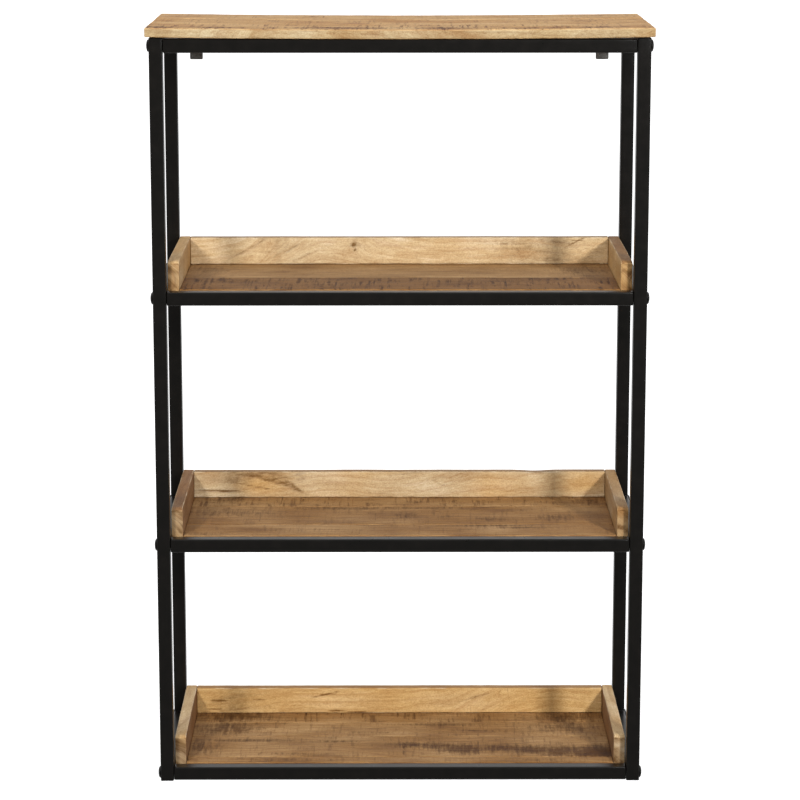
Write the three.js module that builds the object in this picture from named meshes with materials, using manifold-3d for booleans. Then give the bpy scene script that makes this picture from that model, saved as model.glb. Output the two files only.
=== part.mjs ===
// Open bookcase: a bolted square-tube steel frame, a rough plank top and three wooden trays.
// Millimetres, +Z up. The origin is on the floor, midway between the feet; the open front faces -Y.

import * as THREE from 'three';
import { mergeVertices } from 'three/addons/utils/BufferGeometryUtils.js';
import Module from 'manifold-3d';

const wasm = await Module();
wasm.setup();

// ---------------------------------------------------------------- driving dimensions

const overall = { width: 700, depth: 300, height: 1080 };

// Gap left between pieces that touch on the real object.
const touchGap = 0.3;

const tube = { side: 19, wall: 1.2, cornerRadius: 2 };
const plank = { thickness: 14, overhang: 5, edgeRadius: 2 };

// Undersides of the rails that carry trays, above the floor. The top rails hang from the plank's height.
const trayRailBottoms = [1.5, 339.5, 694];
const topRailDrop = 1.5;

const rail = { endWall: 3, endClearance: 0.5 };
const legTopWall = 2;

const tray = {
  boardThickness: 16,
  wallHeight: 40,
  edgeRadius: 1.5,
  frontClearance: 1,
  sideClearance: 1,
};

// Steel tabs welded inside the front and rear rails. They carry the trays and hold the plank.
const tab = {
  width: 25,
  reach: 22,
  thickness: 2.2,
  fromMiddle: 200,
  screwHole: 5,
  weldDepth: 0.5,
  aboveRailBottom: 1.5,
};

const bolt = {
  shankDiameter: 6,
  headDiameter: 17,
  headHeight: 3.6,
  pastEndWall: 6,
  socketAcrossFlats: 4,
  socketDepth: 2,
};
const boltHoleClearance = 0.6;

const foot = { padThickness: 1.5, padChamfer: 1, stemBelowBolt: 1.7, stemWall: 1.6, stemClearance: 0.4 };

const wallStrap = {
  width: 19,
  thickness: 2,
  belowRail: 32,
  topBelowRailTop: 3,
  fromFrameEdge: 46.5,
  cornerRadius: 2,
  wallHoleDiameter: 6,
  wallHoleAboveBottom: 15,
};
const strapScrew = { shankDiameter: 5, headDiameter: 9.5, headHeight: 2.2, pastRailWall: 8 };
const strapHoleClearance = 0.6;

const holeSides = 12;
const boltSides = 14;
const cornerSteps = 2;
const domeSteps = 3;

// ---------------------------------------------------------------- derived places

const frameWidth = overall.width - 2 * plank.overhang;
const frameDepth = overall.depth - 2 * plank.overhang;
const legX = (frameWidth - tube.side) / 2;
const legY = (frameDepth - tube.side) / 2;
const bore = tube.side - 2 * tube.wall;

const plankBottom = overall.height - plank.thickness;
const legTop = plankBottom - touchGap;
const legBottom = foot.padThickness + touchGap;
const topRailHeight = legTop - topRailDrop - tube.side / 2;
const railHeights = [...trayRailBottoms.map((bottom) => bottom + tube.side / 2), topRailHeight];
const topLevel = railHeights.length;

const betweenLegsX = frameWidth - 2 * tube.side;
const betweenLegsY = frameDepth - 2 * tube.side;
const crossRailLength = betweenLegsX - 2 * rail.endClearance;
const sideRailLength = betweenLegsY - 2 * touchGap;

const trayWidth = betweenLegsX - 2 * tray.sideClearance;
const trayDepth = betweenLegsY - 2 * tray.frontClearance;
const betweenTraySides = trayWidth - 2 * (tray.boardThickness + touchGap);

const boltHole = bolt.shankDiameter + boltHoleClearance;
const boltShank = touchGap + tube.side + rail.endClearance + rail.endWall + bolt.pastEndWall;
const strapHole = strapScrew.shankDiameter + strapHoleClearance;
const strapTop = topRailHeight + tube.side / 2 - wallStrap.topBelowRailTop;
const strapBottom = topRailHeight - tube.side / 2 - wallStrap.belowRail;
const strapX = frameWidth / 2 - wallStrap.fromFrameEdge;

const trayBottom = (level) => (
  trayRailBottoms[level - 1] + tab.aboveRailBottom + tab.thickness + touchGap);

// ---------------------------------------------------------------- materials

const paintedSteel = new THREE.MeshStandardMaterial({ color: 0x1f1e1c, roughness: 0.45, metalness: 0.1 });
const blackBolt = new THREE.MeshStandardMaterial({ color: 0x22201f, roughness: 0.38, metalness: 0.5 });
const blackPlastic = new THREE.MeshStandardMaterial({ color: 0x191918, roughness: 0.6, metalness: 0 });
const plankWood = new THREE.MeshStandardMaterial({ color: 0xc79c67, roughness: 0.68, metalness: 0 });
const floorWood = new THREE.MeshStandardMaterial({ color: 0x8f6a45, roughness: 0.62, metalness: 0 });
const wallWood = new THREE.MeshStandardMaterial({ color: 0xd6ad7c, roughness: 0.68, metalness: 0 });
const zincSteel = new THREE.MeshStandardMaterial({ color: 0x8c8a86, roughness: 0.4, metalness: 0.9 });

// ---------------------------------------------------------------- solids

// A closed geometry as a solid that can be joined and cut.
function solid(geometry) {
  const bare = geometry.clone();
  bare.deleteAttribute('normal');
  bare.deleteAttribute('uv');
  const merged = mergeVertices(bare);
  return new wasm.Manifold(new wasm.Mesh({
    numProp: 3,
    vertProperties: Float32Array.from(merged.getAttribute('position').array),
    triVerts: Uint32Array.from(merged.getIndex().array),
  }));
}

function geometryOf(body) {
  const mesh = body.getMesh();
  const geometry = new THREE.BufferGeometry();
  geometry.setAttribute('position', new THREE.BufferAttribute(mesh.vertProperties, mesh.numProp));
  geometry.setIndex(new THREE.BufferAttribute(mesh.triVerts, 1));
  geometry.computeVertexNormals();
  return geometry;
}

function cut(body, ...tools) {
  return tools.reduce((rest, tool) => rest.subtract(tool), body);
}

function roundedRectangle(width, height, radius) {
  const [x, y] = [width / 2, height / 2];
  const shape = new THREE.Shape();
  shape.moveTo(x - radius, -y);
  shape.absarc(x - radius, -y + radius, radius, -Math.PI / 2, 0);
  shape.absarc(x - radius, y - radius, radius, 0, Math.PI / 2);
  shape.absarc(-x + radius, y - radius, radius, Math.PI / 2, Math.PI);
  shape.absarc(-x + radius, -y + radius, radius, Math.PI, 1.5 * Math.PI);
  return shape;
}

// A bar of rounded rectangular section along Z, centred on the origin.
function bar(width, height, length, radius, steps = cornerSteps) {
  const section = roundedRectangle(width, height, radius);
  const options = { depth: length, curveSegments: steps, bevelEnabled: false };
  return new THREE.ExtrudeGeometry(section, options).translate(0, 0, -length / 2);
}

function block(x, y, z) {
  return new THREE.BoxGeometry(x, y, z);
}

// A round cutter along X, Y or Z, centred on the origin.
function roundCutter(diameter, length, axis) {
  const geometry = new THREE.CylinderGeometry(diameter / 2, diameter / 2, length, holeSides);
  if (axis === 'x') geometry.rotateZ(Math.PI / 2);
  if (axis === 'z') geometry.rotateX(Math.PI / 2);
  return geometry;
}

// A pan or dome headed screw along +X: the head's underside at x = 0, the head on the -X side.
function headedScrew({ shankDiameter, headDiameter, headHeight }, shankLength) {
  const [shank, head] = [shankDiameter / 2, headDiameter / 2];
  const profile = [
    new THREE.Vector2(0, shankLength),
    new THREE.Vector2(shank, shankLength),
    new THREE.Vector2(shank, 0),
    new THREE.Vector2(head, 0),
  ];
  const rim = headHeight / 4;
  for (let step = 0; step <= domeSteps; step += 1) {
    const angle = (step / domeSteps) * (Math.PI / 2);
    const radius = step === domeSteps ? 0 : head * Math.cos(angle);
    profile.push(new THREE.Vector2(radius, -rim - (headHeight - rim) * Math.sin(angle)));
  }
  return new THREE.LatheGeometry(profile.reverse(), boltSides).rotateZ(-Math.PI / 2);
}

// ---------------------------------------------------------------- steel frame

// A hollow leg, closed at its top, open at its foot, drilled through for every bolt.
function legGeometry() {
  const length = legTop - legBottom;
  const outside = solid(bar(tube.side, tube.side, length, tube.cornerRadius));
  const hollow = solid(block(bore, bore, length).translate(0, 0, -legTopWall));
  const middle = (legTop + legBottom) / 2;
  const holes = railHeights.map((height) => (
    solid(roundCutter(boltHole, 2 * tube.side, 'x').translate(0, 0, height - middle))));
  return geometryOf(cut(outside, hollow, ...holes)).translate(0, 0, middle);
}

// A tube along Y, welded between the front and rear legs, open at both ends.
function sideRailGeometry() {
  const outside = solid(bar(tube.side, tube.side, sideRailLength, tube.cornerRadius));
  const hollow = solid(block(bore, bore, 2 * sideRailLength));
  return geometryOf(cut(outside, hollow)).rotateX(Math.PI / 2);
}

// A tab welded to the inner face of a cross rail, with its screw hole. inward is +1 or -1 along Y.
function tabSolid(x, bottom, inward) {
  const reach = tab.reach + tab.weldDepth;
  const middle = inward * (tube.side / 2 - tab.weldDepth + reach / 2);
  const plate = block(tab.width, reach, tab.thickness).translate(x, middle, bottom + tab.thickness / 2);
  const holeY = inward * (tube.side / 2 + tab.reach / 2);
  const screwHole = roundCutter(tab.screwHole, 4 * tab.thickness, 'z').translate(x, holeY, bottom);
  return cut(solid(plate), solid(screwHole));
}

// A cross rail along X about its own centre: end walls tapped for the bolts, tabs for what it carries.
function crossRailGeometry(level, inward) {
  const section = bar(tube.side, tube.side, crossRailLength, tube.cornerRadius).rotateY(Math.PI / 2);
  const hollow = block(crossRailLength - 2 * rail.endWall, bore, bore);
  const tapped = roundCutter(boltHole, 2 * crossRailLength, 'x');
  let body = cut(solid(section), solid(hollow), solid(tapped));
  const tabBottom = level === topLevel
    ? tube.side / 2 - tab.thickness
    : tab.aboveRailBottom - tube.side / 2;
  for (const side of [-1, 1]) {
    body = body.add(tabSolid(side * tab.fromMiddle, tabBottom, inward));
  }
  if (level === topLevel && inward < 0) {
    for (const side of [-1, 1]) {
      const hole = roundCutter(strapHole, tube.side, 'y');
      body = body.subtract(solid(hole.translate(side * strapX, tube.side / 2, 0)));
    }
  }
  return geometryOf(body);
}

// A square plastic plug: a chamfered pad under the tube and a hollow stem pressed inside it.
function footPlugGeometry() {
  const stemSide = bore - 2 * foot.stemClearance;
  const half = tube.side / 2;
  const outline = [
    new THREE.Vector2(-half + foot.padChamfer, 0),
    new THREE.Vector2(half - foot.padChamfer, 0),
    new THREE.Vector2(half, foot.padChamfer),
    new THREE.Vector2(half, foot.padThickness),
    new THREE.Vector2(-half, foot.padThickness),
    new THREE.Vector2(-half, foot.padChamfer),
  ];
  const slab = new THREE.ExtrudeGeometry(new THREE.Shape(outline), { depth: tube.side, bevelEnabled: false });
  slab.translate(0, 0, -half).rotateX(Math.PI / 2);
  const pad = solid(slab).intersect(solid(slab.clone().rotateZ(Math.PI / 2)));
  const stemBottom = foot.padThickness / 2;
  const stemTop = railHeights[0] - boltHole / 2 - foot.stemBelowBolt;
  const stemHeight = stemTop - stemBottom;
  const stem = solid(block(stemSide, stemSide, stemHeight).translate(0, 0, stemBottom + stemHeight / 2));
  const cup = stemSide - 2 * foot.stemWall;
  const well = solid(block(cup, cup, stemHeight).translate(0, 0, foot.padThickness + stemHeight / 2));
  return geometryOf(pad.add(stem).subtract(well));
}

function legBoltGeometry() {
  const screw = solid(headedScrew(bolt, boltShank));
  const corner = bolt.socketAcrossFlats / Math.sqrt(3);
  const socket = new THREE.CylinderGeometry(corner, corner, 2 * bolt.socketDepth, 6).rotateZ(Math.PI / 2);
  return geometryOf(cut(screw, solid(socket.translate(-bolt.headHeight, 0, 0))));
}

function wallStrapGeometry() {
  const { width, thickness, cornerRadius, wallHoleDiameter, wallHoleAboveBottom } = wallStrap;
  const height = strapTop - strapBottom;
  const middle = (strapTop + strapBottom) / 2;
  const plate = bar(width, height, thickness, cornerRadius).rotateX(Math.PI / 2);
  const screwHole = roundCutter(strapHole, 4 * thickness, 'y').translate(0, 0, topRailHeight - middle);
  const wallHole = roundCutter(wallHoleDiameter, 4 * thickness, 'y')
    .translate(0, 0, wallHoleAboveBottom - height / 2);
  return geometryOf(cut(solid(plate), solid(screwHole), solid(wallHole)));
}

// ---------------------------------------------------------------- wood

// A board with eased long edges, length along X.
function boardAlongX(length, depth, height, radius) {
  return bar(height, depth, length, radius, 1).rotateY(Math.PI / 2);
}

// A board with eased long edges, length along Y.
function boardAlongY(width, length, height, radius) {
  return bar(width, height, length, radius, 1).rotateX(Math.PI / 2);
}

// ---------------------------------------------------------------- assembly

const bookcase = new THREE.Group();

function place(parent, name, geometry, material, x, y, z) {
  const mesh = new THREE.Mesh(geometry, material);
  mesh.name = name;
  mesh.position.set(x, y, z);
  parent.add(mesh);
  return mesh;
}

const sides = [['left', -1], ['right', 1]];
const ends = [['front', -1], ['rear', 1]];

function buildFrame() {
  const frame = new THREE.Group();
  const leg = legGeometry();
  const plug = footPlugGeometry();
  const legBolt = legBoltGeometry();
  const sideRail = sideRailGeometry();
  for (const [end, ySign] of ends) {
    for (const [side, xSign] of sides) {
      const [x, y] = [xSign * legX, ySign * legY];
      place(frame, `leg_${end}_${side}`, leg, paintedSteel, x, y, 0);
      place(frame, `foot_plug_${end}_${side}`, plug, blackPlastic, x, y, 0);
      railHeights.forEach((height, index) => {
        const name = `bolt_${end}_${side}_${index + 1}`;
        const headFace = xSign * (frameWidth / 2 + touchGap);
        const mesh = place(frame, name, legBolt, blackBolt, headFace, y, height);
        if (xSign > 0) mesh.rotation.z = Math.PI;
      });
    }
  }
  railHeights.forEach((height, index) => {
    const level = index + 1;
    for (const [end, ySign] of ends) {
      const geometry = crossRailGeometry(level, -ySign);
      place(frame, `${end}_rail_${level}`, geometry, paintedSteel, 0, ySign * legY, height);
    }
    for (const [side, xSign] of sides) {
      place(frame, `side_rail_${side}_${level}`, sideRail, paintedSteel, xSign * legX, 0, height);
    }
  });
  return frame;
}

// A tray: a floor with a back board standing on it, between two side boards, open at the front.
function buildTray(level) {
  const group = new THREE.Group();
  group.position.z = trayBottom(level);
  const { boardThickness: board, wallHeight, edgeRadius } = tray;
  const sideHeight = board + wallHeight;
  place(group, `tray_${level}_floor`, boardAlongX(betweenTraySides, trayDepth, board, edgeRadius),
    floorWood, 0, 0, board / 2);
  place(group, `tray_${level}_back`, boardAlongX(betweenTraySides, board, wallHeight - touchGap, edgeRadius),
    wallWood, 0, (trayDepth - board) / 2, board + (wallHeight + touchGap) / 2);
  for (const [side, xSign] of sides) {
    place(group, `tray_${level}_side_${side}`, boardAlongY(board, trayDepth, sideHeight, edgeRadius),
      wallWood, xSign * (trayWidth - board) / 2, 0, sideHeight / 2);
  }
  return group;
}

function buildWallStraps() {
  const group = new THREE.Group();
  const strap = wallStrapGeometry();
  const shankLength = 2 * touchGap + wallStrap.thickness + tube.wall + strapScrew.pastRailWall;
  const screw = headedScrew(strapScrew, shankLength);
  const strapY = frameDepth / 2 + touchGap + wallStrap.thickness / 2;
  const headY = frameDepth / 2 + 2 * touchGap + wallStrap.thickness;
  for (const [side, xSign] of sides) {
    const x = xSign * strapX;
    place(group, `wall_strap_${side}`, strap, zincSteel, x, strapY, (strapTop + strapBottom) / 2);
    const mesh = place(group, `wall_strap_screw_${side}`, screw, zincSteel, x, headY, topRailHeight);
    mesh.rotation.z = -Math.PI / 2;
  }
  return group;
}

bookcase.add(buildFrame());
trayRailBottoms.forEach((_, index) => bookcase.add(buildTray(index + 1)));
place(bookcase, 'top_plank', boardAlongX(overall.width, overall.depth, plank.thickness, plank.edgeRadius),
  plankWood, 0, 0, plankBottom + plank.thickness / 2);
bookcase.add(buildWallStraps());

export default bookcase;
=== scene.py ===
import math
from dataclasses import dataclass, replace
from functools import partial

import bmesh
import bpy
import numpy as np
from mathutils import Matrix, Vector


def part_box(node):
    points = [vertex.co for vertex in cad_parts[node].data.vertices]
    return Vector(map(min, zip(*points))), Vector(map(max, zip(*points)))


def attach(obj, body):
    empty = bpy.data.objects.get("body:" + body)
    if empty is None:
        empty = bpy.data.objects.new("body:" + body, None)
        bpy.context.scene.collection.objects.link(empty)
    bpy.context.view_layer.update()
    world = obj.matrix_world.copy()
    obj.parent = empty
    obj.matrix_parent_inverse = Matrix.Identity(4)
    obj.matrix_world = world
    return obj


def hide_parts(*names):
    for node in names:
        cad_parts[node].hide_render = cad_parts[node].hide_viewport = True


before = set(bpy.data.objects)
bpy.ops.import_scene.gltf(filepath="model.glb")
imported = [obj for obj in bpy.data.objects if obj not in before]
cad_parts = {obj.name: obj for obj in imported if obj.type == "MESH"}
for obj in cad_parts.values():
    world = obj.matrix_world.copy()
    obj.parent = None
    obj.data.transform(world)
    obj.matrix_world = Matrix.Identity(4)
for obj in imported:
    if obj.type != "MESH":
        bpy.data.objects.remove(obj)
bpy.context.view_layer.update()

# Looks of the open bookcase: a bolted square-tube frame, a rough plank top and three wooden trays.
# The camera, lights and stage are in metres. Shapes are in millimetres until add_piece makes them metres.

MM = 0.001
X, Y, Z = 0, 1, 2
LEVELS = (1, 2, 3, 4)
TRAYS = (1, 2, 3)
SIDES = (("left", -1), ("right", 1))
ENDS = (("front", -1), ("rear", 1))


def span(node):
    """The lowest and highest corners of a CAD node, in millimetres."""
    low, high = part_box(node)
    return np.array(low) / MM, np.array(high) / MM


def put_in_scene(name, data):
    made = bpy.data.objects.new(name, data)
    bpy.context.scene.collection.objects.link(made)
    return made


def circle(count):
    """The cosines and sines of count even steps round a circle."""
    angles = [2 * math.pi * number / count for number in range(count)]
    return [(math.cos(angle), math.sin(angle)) for angle in angles]


# ---- node graphs

def srgb(red, green, blue):
    """A colour given as it looks on a screen, 0 to 255, as a linear one."""
    def linear(value):
        value /= 255
        return value / 12.92 if value <= 0.04045 else ((value + 0.055) / 1.055) ** 2.4
    return tuple(linear(value) for value in (red, green, blue))


class Graph:
    """The node graph of a material or world, written as expressions."""

    def __init__(self, owner, output="OutputMaterial"):
        owner.use_nodes = True
        self.owner = owner
        self.nodes = owner.node_tree.nodes
        self.links = owner.node_tree.links
        self.nodes.clear()
        self.surface = self.nodes.new("ShaderNode" + output).inputs["Surface"]

    def feed(self, socket, value):
        if isinstance(value, bpy.types.NodeSocket):
            self.links.new(value, socket)
        elif isinstance(value, tuple) and socket.type == "RGBA":
            socket.default_value = (*value, 1)
        else:
            socket.default_value = value

    def node(self, kind, inputs, output=0, **settings):
        """One output of a new node. Each input is a plain value or another node's output."""
        made = self.nodes.new("ShaderNode" + kind)
        for name, value in settings.items():
            setattr(made, name, value)
        for name, value in inputs.items():
            self.feed(made.inputs[name], value)
        return made.outputs[output]

    def ended(self, shader):
        """The material or world, with its graph ending in this shader."""
        self.feed(self.surface, shader)
        return self.owner

    def principled(self, **inputs):
        """The material, ending in a Principled shader. Underscores stand for spaces in its inputs' names."""
        named = {name.replace("_", " "): value for name, value in inputs.items()}
        return self.ended(self.node("BsdfPrincipled", named))

    def math(self, operation, *values):
        return self.node("Math", dict(enumerate(values)), operation=operation)

    def plus(self, first, second):
        return self.math("ADD", first, second)

    def minus(self, first, second):
        return self.math("SUBTRACT", first, second)

    def times(self, *values):
        result = values[0]
        for value in values[1:]:
            result = self.math("MULTIPLY", result, value)
        return result

    def split(self, vector):
        made = self.nodes.new("ShaderNodeSeparateXYZ")
        self.feed(made.inputs[0], vector)
        return made.outputs[:]

    def attribute(self, name):
        return self.split(self.node("Attribute", {}, "Vector", attribute_name=name))

    def place(self):
        return self.node("TexCoord", {}, "Object")

    def vector(self, x, y, z=0.0):
        return self.node("CombineXYZ", {"X": x, "Y": y, "Z": z})

    def noise(self, vector, scale=1.0, detail=2.0, roughness=0.5, distortion=0.0):
        inputs = {"Vector": vector, "Scale": scale, "Detail": detail, "Roughness": roughness,
                  "Distortion": distortion}
        return self.node("TexNoise", inputs, "Fac")

    def between(self, value, low, high, to_low=0.0, to_high=1.0, smooth=True):
        """A value carried from the span low to high into the span to_low to to_high, and held at its ends."""
        inputs = {"Value": value, "From Min": low, "From Max": high, "To Min": to_low, "To Max": to_high}
        return self.node("MapRange", inputs, "Result",
                         interpolation_type="SMOOTHSTEP" if smooth else "LINEAR")

    def ramp(self, value, *stops):
        """A colour read from (place, colour) stops."""
        made = self.nodes.new("ShaderNodeValToRGB")
        elements = made.color_ramp.elements
        for element, (at, colour) in zip(elements, (stops[0], stops[-1])):
            element.position = at
            element.color = (*colour, 1)
        for at, colour in stops[1:-1]:
            elements.new(at).color = (*colour, 1)
        self.feed(made.inputs[0], value)
        return made.outputs[0]

    def mix(self, amount, first, second, mode="MIX"):
        return self.node("Mix", {0: amount, 6: first, 7: second}, 2, data_type="RGBA", blend_type=mode)

    def tinted(self, amount, body, tint):
        """A colour multiplied by a tint, by an amount from 0 to 1."""
        return self.mix(amount, body, self.mix(1.0, body, tint, "MULTIPLY"))

    def bump(self, height, distance, strength, under=None):
        inputs = {"Height": height, "Distance": distance, "Strength": strength}
        if under is not None:
            inputs["Normal"] = under
        return self.node("Bump", inputs)


# ---- camera, light and stage

CAMERA_PLACE = (-0.015, -4.115, 1.357)
CAMERA_DOWN = math.radians(11.349)
CAMERA_TURN = math.radians(0.215)
SENSOR_WIDTH = 36.0
LENS = 129.8
FAR_CLIP = 200
LIGHT_TARGET = Vector((0, 0.05, 0.62))

# The world's strength in front of the bookcase, behind it, and added straight above it.
WORLD_FRONT, WORLD_BACK, WORLD_TOP = 0.19, 0.95, 0.62

FLOOR_RADIUS, DOME_RADIUS = 40, 48
STAGE_GREY = (0.55, 0.55, 0.55)
# How strongly the stage glows under the bookcase and away from it, and where it reaches full strength.
FLOOR_GLOW, WHITE_GLOW, GLOW_START, GLOW_REACH = 0.80, 1.02, 0.3, 2.2


def aim(thing, direction):
    thing.rotation_euler = direction.to_track_quat("-Z", "Y").to_euler()


def add_camera():
    data = bpy.data.cameras.new("camera")
    data.sensor_width = SENSOR_WIDTH
    data.lens = LENS
    data.clip_end = FAR_CLIP
    data.dof.use_dof = False
    camera = put_in_scene("camera", data)
    camera.location = CAMERA_PLACE
    level = math.cos(CAMERA_DOWN)
    aim(camera, Vector((math.sin(CAMERA_TURN) * level, math.cos(CAMERA_TURN) * level,
                        -math.sin(CAMERA_DOWN))))
    bpy.context.scene.camera = camera


def add_softbox(name, place, size, power, in_gloss=False, in_diffuse=True):
    """A square light of a size in metres and a power in watts, which the camera doesn't see."""
    data = bpy.data.lights.new(name, "AREA")
    data.shape = "SQUARE"
    data.size = size
    data.energy = power
    light = put_in_scene(name, data)
    light.location = place
    aim(light, LIGHT_TARGET - Vector(place))
    light.visible_camera = False
    light.visible_glossy = in_gloss
    light.visible_diffuse = in_diffuse


def light_scene():
    add_softbox("key_right", (1.42, -2.70, 1.60), 0.26, 88)
    add_softbox("key_left", (-1.10, -2.30, 1.57), 0.28, 48)
    add_softbox("front_fill", (0, -3.2, 1.9), 2.4, 6)
    add_softbox("glint", (1.75, -2.90, 2.10), 0.7, 36, in_gloss=True, in_diffuse=False)


def light_world():
    """White behind and above the bookcase, dimmer in front of it, as in a product studio."""
    world = bpy.data.worlds.new("studio")
    bpy.context.scene.world = world
    g = Graph(world, "OutputWorld")
    _, rearward, upward = g.split(g.node("TexCoord", {}, "Generated"))
    around = g.between(rearward, -0.5, 0.6, WORLD_FRONT, WORLD_BACK, smooth=False)
    above = g.between(upward, 0.35, 1.0, 0.0, WORLD_TOP, smooth=False)
    g.ended(g.node("Background", {"Strength": g.plus(around, above)}))


def glowing_material(name, inner):
    """A pale stage material that glows: with the strength inner at its middle, and white further out."""
    g = Graph(bpy.data.materials.new(name))
    away = g.node("VectorMath", {0: g.place()}, "Value", operation="LENGTH")
    glow = g.node("Emission", {"Strength": g.between(away, GLOW_START, GLOW_REACH, inner, WHITE_GLOW)})
    pale = g.node("BsdfDiffuse", {"Color": STAGE_GREY})
    return g.ended(g.node("AddShader", {0: glow, 1: pale}))


def add_stage_piece(name, inner, build, **shape):
    """A piece of the stage that only the camera sees."""
    mesh = bpy.data.meshes.new(name)
    form = bmesh.new()
    build(form, **shape)
    form.to_mesh(mesh)
    form.free()
    mesh.materials.append(glowing_material(name, inner))
    stage = put_in_scene(name, mesh)
    stage.visible_glossy = False
    stage.visible_diffuse = False
    stage.visible_transmission = False
    stage.visible_shadow = False


def add_stage():
    """A pale floor and a white dome."""
    add_stage_piece("studio_floor", FLOOR_GLOW, bmesh.ops.create_circle, cap_ends=True, segments=96,
                    radius=FLOOR_RADIUS)
    add_stage_piece("studio_dome", WHITE_GLOW, bmesh.ops.create_uvsphere, u_segments=64, v_segments=32,
                    radius=DOME_RADIUS)


# ---- materials

# Tints of the wood's late rings, of fine lines along the grain, of pores, and of two sizes of sawn roughness.
LATE_TINT, HAIR_TINT, PORE_TINT = srgb(188, 150, 108), srgb(200, 170, 136), srgb(150, 110, 75)
MOTTLE_TINT, SAND_TINT = srgb(204, 180, 146), srgb(202, 184, 160)
RINGS_PER_MM = 0.095


def wood_material(name, light, mid, dark, rich, stained, sawn, deep, sandy, streaky, wear, combing=0.8):
    """Rough-sawn hardwood in screen colours. The mesh carries its figure: "grain" holds the millimetres
    along, the growth-ring distance and the millimetres across; "finish" holds how stained, how rich and how
    saw-marked a spot is; "ground" holds how deep its colour is, as on end grain and as painted shade on some
    faces and edges, and how worn it is, as on an arris. deep is the tint of both the end grain and the
    painted shade. combing is how much stains break up across the grain rather than along it."""
    light, mid, dark, rich, stained, sawn, deep = (
        srgb(*colour) for colour in (light, mid, dark, rich, stained, sawn, deep))
    g = Graph(bpy.data.materials.new(name))
    along, ring, across = g.attribute("grain")
    stain, tone, saw = g.attribute("finish")
    deepness_and_painted_shade, worn, _ = g.attribute("ground")

    def drawn(along_scale, other, other_scale, detail, roughness=0.5, layer=0.0):
        """Noise stretched along the board and across it or its rings. Each layer is a noise of its own."""
        spot = g.vector(g.times(along, along_scale), g.times(other, other_scale), layer)
        return g.noise(spot, detail=detail, roughness=roughness)

    fibre = g.noise(g.vector(g.times(along, 0.013), g.times(ring, 0.30), g.times(across, 0.02)),
                    detail=6, roughness=0.62)
    hair = drawn(0.06, ring, 1.7, 3, 0.6)
    pores = g.between(drawn(0.16, ring, 1.6, 2), 0.60, 0.72)
    blotch = drawn(0.011, across, 0.022, 3, 0.55)
    mottle = drawn(0.13, across, 0.24, 3, 0.65)
    sand = drawn(0.42, across, 0.55, 3, 0.75)
    streak = drawn(0.010, across, 0.24, 3, 0.6, 6.0)

    year = g.math("FRACT", g.plus(g.times(ring, RINGS_PER_MM), fibre))
    late = g.times(g.between(year, 0.40, 0.93), g.between(year, 1.0, 0.93),
                   g.between(blotch, 0.38, 0.62, 0.15, 1.0))

    shade = g.plus(g.times(fibre, 0.40), g.times(blotch, 0.60))
    body = g.ramp(shade, (0.36, dark), (0.49, mid), (0.62, light))
    body = g.mix(g.between(tone, 0.0, 1.0), body, g.mix(0.85, body, rich, "MULTIPLY"))
    for amount, tint in ((g.times(late, 0.30), LATE_TINT),
                         (g.between(hair, 0.38, 0.70, 0.0, 0.22), HAIR_TINT),
                         (g.times(pores, 0.36), PORE_TINT),
                         (g.between(mottle, 0.40, 0.66, 0.0, sandy * 0.5), MOTTLE_TINT),
                         (g.between(sand, 0.38, 0.66, 0.0, sandy), SAND_TINT),
                         (g.between(streak, 0.48, 0.70, 0.0, streaky), sawn)):
        body = g.tinted(amount, body, tint)

    stroke = drawn(0.17, across, 0.012, 3, 0.6)
    patch = drawn(0.022, across, 0.03, 2, 0.5, 4.0)
    marks = g.times(g.between(stroke, 0.49, 0.66), g.between(patch, 0.36, 0.60), saw)
    body = g.tinted(g.times(marks, 0.95), body, sawn)

    ragged = drawn(0.09, across, 0.14, 4, 0.7, 9.0)
    combed = drawn(0.20, across, 0.022, 3, 0.7, 2.0)
    uneven = g.plus(g.times(combed, combing), g.times(fibre, 0.8 - combing))
    uneven = g.minus(g.plus(g.times(ragged, 0.5), uneven), 0.65)
    dirt = g.between(g.plus(stain, g.times(uneven, 2.1)), 0.20, 1.15)
    body = g.tinted(g.times(dirt, g.between(stain, 0.02, 0.22)), body, stained)
    # Deepen the colour: the end grain's own darker colour, and painted shade on the faces and edges that the
    # figures name.
    body = g.tinted(deepness_and_painted_shade, body, deep)
    body = g.mix(g.times(worn, g.between(mottle, 0.36, 0.60, wear * 0.3, wear)), body, light)

    relief = g.plus(g.times(fibre, 0.40), g.times(hair, 0.24))
    relief = g.minus(relief, g.times(pores, 0.35))
    relief = g.minus(relief, g.times(marks, 0.8))
    relief = g.plus(relief, g.times(sand, 0.7 * sandy))
    rough = g.plus(g.between(fibre, 0.3, 0.7, 0.58, 0.74, smooth=False), g.times(pores, 0.12))
    return g.principled(Base_Color=body, Roughness=rough, IOR=1.45, Specular_IOR_Level=0.34,
                        Normal=g.bump(relief, 0.7 * MM, 0.75))


def powder_coat_material(name):
    """Black powder coat on steel: a fine orange-peel skin, a few dull patches and pale dust."""
    g = Graph(bpy.data.materials.new(name))
    place = g.place()
    peel = g.noise(place, scale=900)
    swell = g.noise(place, scale=55, detail=3, roughness=0.55)
    specks = g.between(g.noise(place, scale=420, detail=3, roughness=0.7), 0.66, 0.76)
    body = g.ramp(swell, (0.30, srgb(11, 10, 8)), (0.55, srgb(14, 12, 10)), (0.80, srgb(18, 16, 13)))
    body = g.mix(g.times(specks, 0.22), body, srgb(74, 71, 66))
    rough = g.plus(g.between(swell, 0.2, 0.8, 0.26, 0.36, smooth=False), g.times(specks, 0.25))
    return g.principled(Base_Color=body, Roughness=rough, IOR=1.5, Specular_IOR_Level=0.45,
                        Normal=g.bump(peel, 0.12 * MM, 0.5, under=g.bump(swell, 0.3 * MM, 0.2)))


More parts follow.
